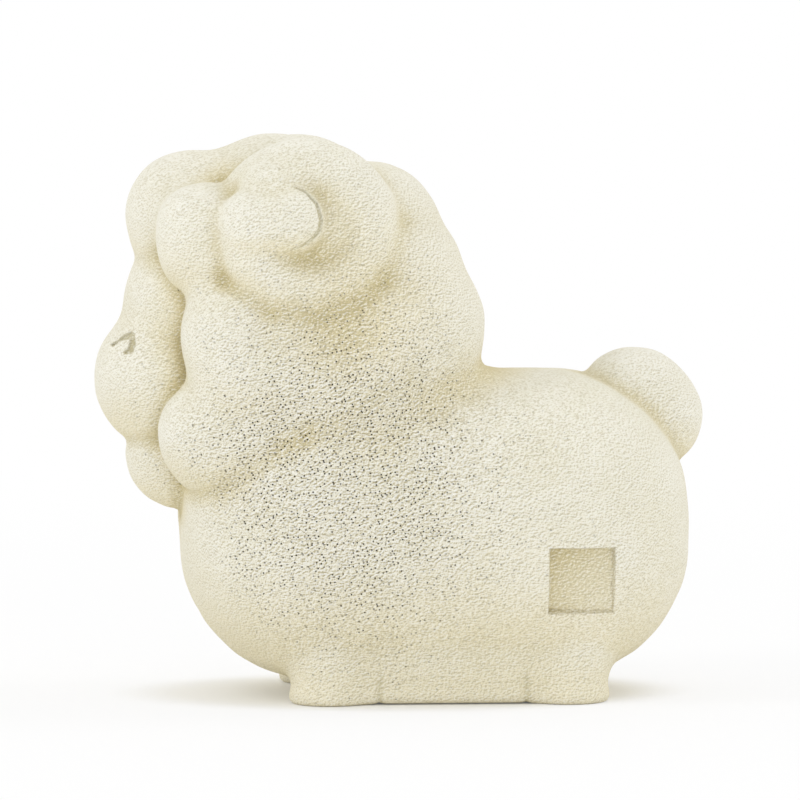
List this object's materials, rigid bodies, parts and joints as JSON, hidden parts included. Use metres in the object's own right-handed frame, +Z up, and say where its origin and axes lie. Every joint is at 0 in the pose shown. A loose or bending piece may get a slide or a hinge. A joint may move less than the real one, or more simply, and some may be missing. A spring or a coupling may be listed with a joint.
{
  "type": "sheep figurine",
  "caption": "Squat standing sheep ornament with a lobed fleece mane, coiled horns, a round muzzle, a bun tail and four stub feet; stands on a flat surface.",
  "frame": {"origin": "on the floor under the middle of the bounding box", "axes": "+Z up; the face looks along -Y and the tail along +Y; the sheep's own left is +X"},
  "size_m": [0.062, 0.1108, 0.1017],
  "materials": {
    "stone": "matte"
  },
  "bodies": {
    "root": {"body": "stone", "mane": "stone", "topknot": "stone", "face": "stone", "left_horn": "stone", "right_horn": "stone", "tail": "stone", "front_left_foot": "stone", "front_right_foot": "stone", "rear_left_foot": "stone", "rear_right_foot": "stone"}
  },
  "joints": []
}
